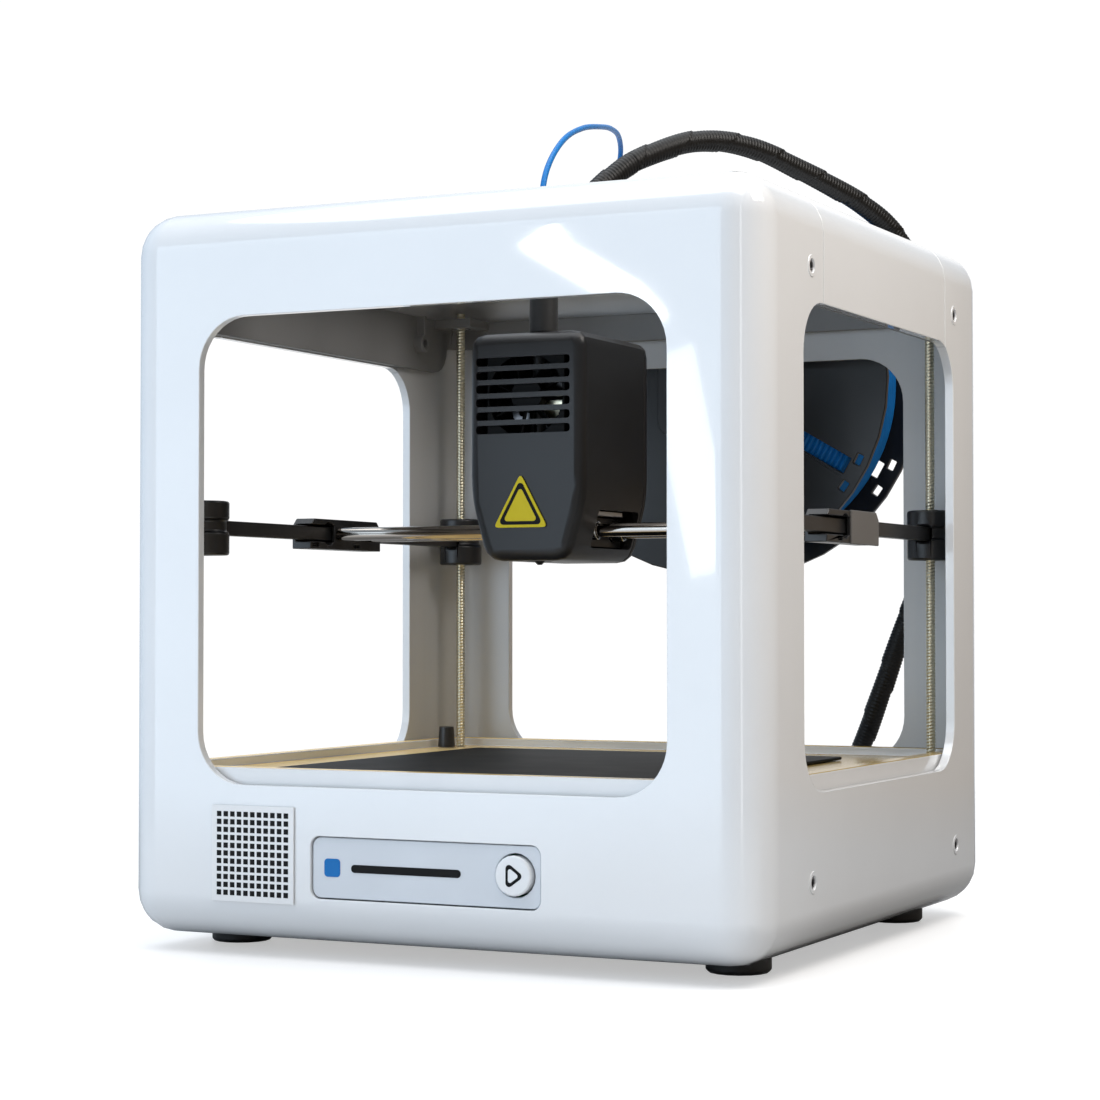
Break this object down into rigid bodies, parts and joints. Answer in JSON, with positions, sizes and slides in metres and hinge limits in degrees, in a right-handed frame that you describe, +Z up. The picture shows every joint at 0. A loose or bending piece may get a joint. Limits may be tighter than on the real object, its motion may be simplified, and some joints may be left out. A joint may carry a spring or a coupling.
{
  "type": "desktop 3-D printer",
  "caption": "Small cube-shaped filament printer: glossy white windowed casing, lifting gantry with a boxy charcoal print head, black build mat, and a reel of filament on the back.",
  "frame": {"origin": "centre of the overall box, at the underside of the feet", "axes": "+Z up, -Y towards the front panel with the play button, +X to the right seen from the front"},
  "size_m": [0.188, 0.2292, 0.2495],
  "materials": {
    "white_gloss": "glossy moulded shell",
    "deck_white": "high gloss",
    "inner_grey": "satin",
    "panel_grey": "satin",
    "label_white": "printed sticker",
    "charcoal": "fine matte texture",
    "black_plastic": "satin",
    "rubber": "matte",
    "mat_black": "fine textured sheet",
    "badge_yellow": "printed sticker",
    "chrome": "polished",
    "steel": "satin",
    "aluminium": "satin",
    "brass": "machined",
    "board_green": "solder mask",
    "braid": "woven",
    "filament_blue": "satin"
  },
  "bodies": {
    "frame": {"casing_shell": "white_gloss", "top_cover": "white_gloss", "bottom_plate": "inner_grey", "upper_frame": "inner_grey", "base_deck": "deck_white", "build_mat": "mat_black", "foot_front_left": "rubber", "foot_front_right": "rubber", "foot_rear_left": "rubber", "foot_rear_right": "rubber", "control_panel": "panel_grey", "front_label": "label_white", "button_board": "board_green", "control_board": "board_green", "power_inlet": "black_plastic", "z_stop_post": "black_plastic", "z_motor_left": "steel", "z_motor_right": "steel", "z_bearing_left": "steel", "z_bearing_right": "steel", "spool_holder": "black_plastic", "spool_retainer": "black_plastic", "cable_gland": "rubber", "sleeve_fixed": "braid", "filament_fixed": "filament_blue"},
    "button": {"play_button": "white_gloss"},
    "screw_left": {"z_screw_left": "brass"},
    "screw_right": {"z_screw_right": "brass"},
    "gantry": {"corner_carrier_front_left": "black_plastic", "corner_carrier_front_right": "black_plastic", "corner_carrier_rear_left": "black_plastic", "corner_carrier_rear_right": "black_plastic", "z_nut_left": "brass", "z_nut_right": "brass", "y_bar_left": "black_plastic", "y_bar_right": "black_plastic"},
    "carriage": {"y_slider_left": "black_plastic", "y_slider_right": "black_plastic", "x_rod_front": "chrome", "x_rod_rear": "chrome"},
    "head": {"head_shell": "charcoal", "head_back_cover": "charcoal", "x_bearing_block": "black_plastic", "x_bush_front": "steel", "x_bush_rear": "steel", "chassis_plate": "aluminium", "heater_block": "aluminium", "nozzle": "brass", "heat_sink": "aluminium", "fan_frame": "black_plastic", "feed_motor": "steel", "cable_collar": "rubber", "front_badge": "badge_yellow", "sleeve_moving": "braid", "filament_moving": "filament_blue"},
    "fan": {"fan_rotor": "black_plastic"},
    "feed_gear": {"feed_gear": "brass"},
    "feed_idler": {"feed_idler": "steel"},
    "spool": {"spool_reel": "black_plastic", "filament_winding": "filament_blue"}
  },
  "joints": [
    {"name": "button_press", "type": "slide", "parent": "frame", "child": "button", "axis": [0, 1, 0], "range_m": [0, 0.001], "stiffness_N_per_m": 600},
    {"name": "gantry_lift", "type": "slide", "parent": "frame", "child": "gantry", "axis": [0, 0, 1], "range_m": [-0.056, 0.026]},
    {"name": "carriage_y_travel", "type": "slide", "parent": "gantry", "child": "carriage", "axis": [0, 1, 0], "range_m": [-0.028, 0.05]},
    {"name": "head_x_travel", "type": "slide", "parent": "carriage", "child": "head", "axis": [1, 0, 0], "range_m": [-0.0458, 0.0582], "deforming": ["sleeve_moving", "filament_moving", "sleeve_fixed", "filament_fixed"]},
    {"name": "screw_left_turn", "type": "hinge", "parent": "frame", "child": "screw_left", "pos_m": [-0.0813, 0.0599, 0.1], "axis": [0, 0, 1], "range_deg": [-4680, 10080]},
    {"name": "screw_right_turn", "type": "hinge", "parent": "frame", "child": "screw_right", "pos_m": [0.0813, 0.0599, 0.1], "axis": [0, 0, 1], "range_deg": [-4680, 10080]},
    {"name": "fan_spin", "type": "hinge", "parent": "head", "child": "fan", "pos_m": [-0.0071, -0.0378, 0.1544], "axis": [0, 1, 0], "continuous": true},
    {"name": "spool_spin", "type": "hinge", "parent": "frame", "child": "spool", "pos_m": [0, 0.0945, 0.1668], "axis": [0, 1, 0], "continuous": true},
    {"name": "feed_gear_turn", "type": "hinge", "parent": "head", "child": "feed_gear", "pos_m": [-0.0009, -0.0325, 0.15], "axis": [0, 1, 0], "continuous": true},
    {"name": "feed_idler_turn", "type": "hinge", "parent": "head", "child": "feed_idler", "pos_m": [-0.01076, -0.0326, 0.15], "axis": [0, 1, 0], "continuous": true}
  ],
  "couplings": [
    {"joint": "screw_left_turn", "follows": "gantry_lift", "rad_per_m": -3141.6},
    {"joint": "screw_right_turn", "follows": "gantry_lift", "rad_per_m": -3141.6},
    {"joint": "feed_gear_turn", "follows": "spool_spin", "ratio": -13.184},
    {"joint": "feed_idler_turn", "follows": "spool_spin", "ratio": 15.821}
  ]
}
